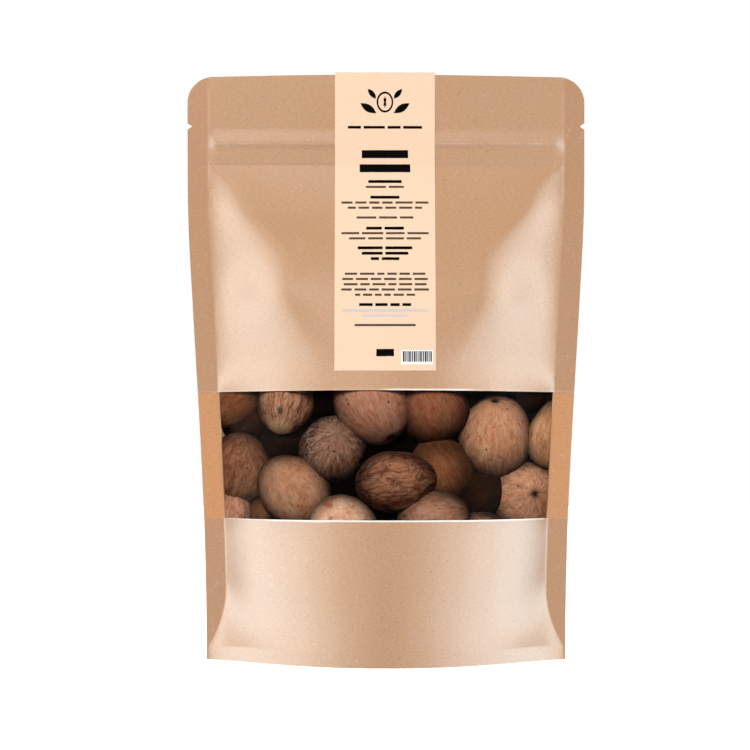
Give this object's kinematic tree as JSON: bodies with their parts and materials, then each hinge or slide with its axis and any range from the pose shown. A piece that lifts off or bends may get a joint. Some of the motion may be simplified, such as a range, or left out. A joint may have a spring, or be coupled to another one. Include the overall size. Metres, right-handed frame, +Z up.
{
  "type": "pouch of whole nutmegs",
  "caption": "Stand-up kraft paper pouch of whole nutmegs, with a zip line, a gusset base, side notches, a clear strip across the front and a paper label.",
  "frame": {"origin": "on the surface the pouch stands on, midway between the side seals and between front and back", "axes": "+Z up, front with the window faces -Y, +X to the right as seen from the front"},
  "size_m": [0.11, 0.0396, 0.1625],
  "materials": {
    "kraft": "satin laminated brown kraft paper",
    "clear_film": "clear gloss film",
    "label_paper": "matte peach label paper",
    "nutmeg_shell": "dry, dull, wrinkled seed"
  },
  "bodies": {
    "root": {"kraft_pouch": "kraft", "window_film": "clear_film", "paper_label": "label_paper", "nutmegs": "nutmeg_shell"}
  },
  "joints": []
}
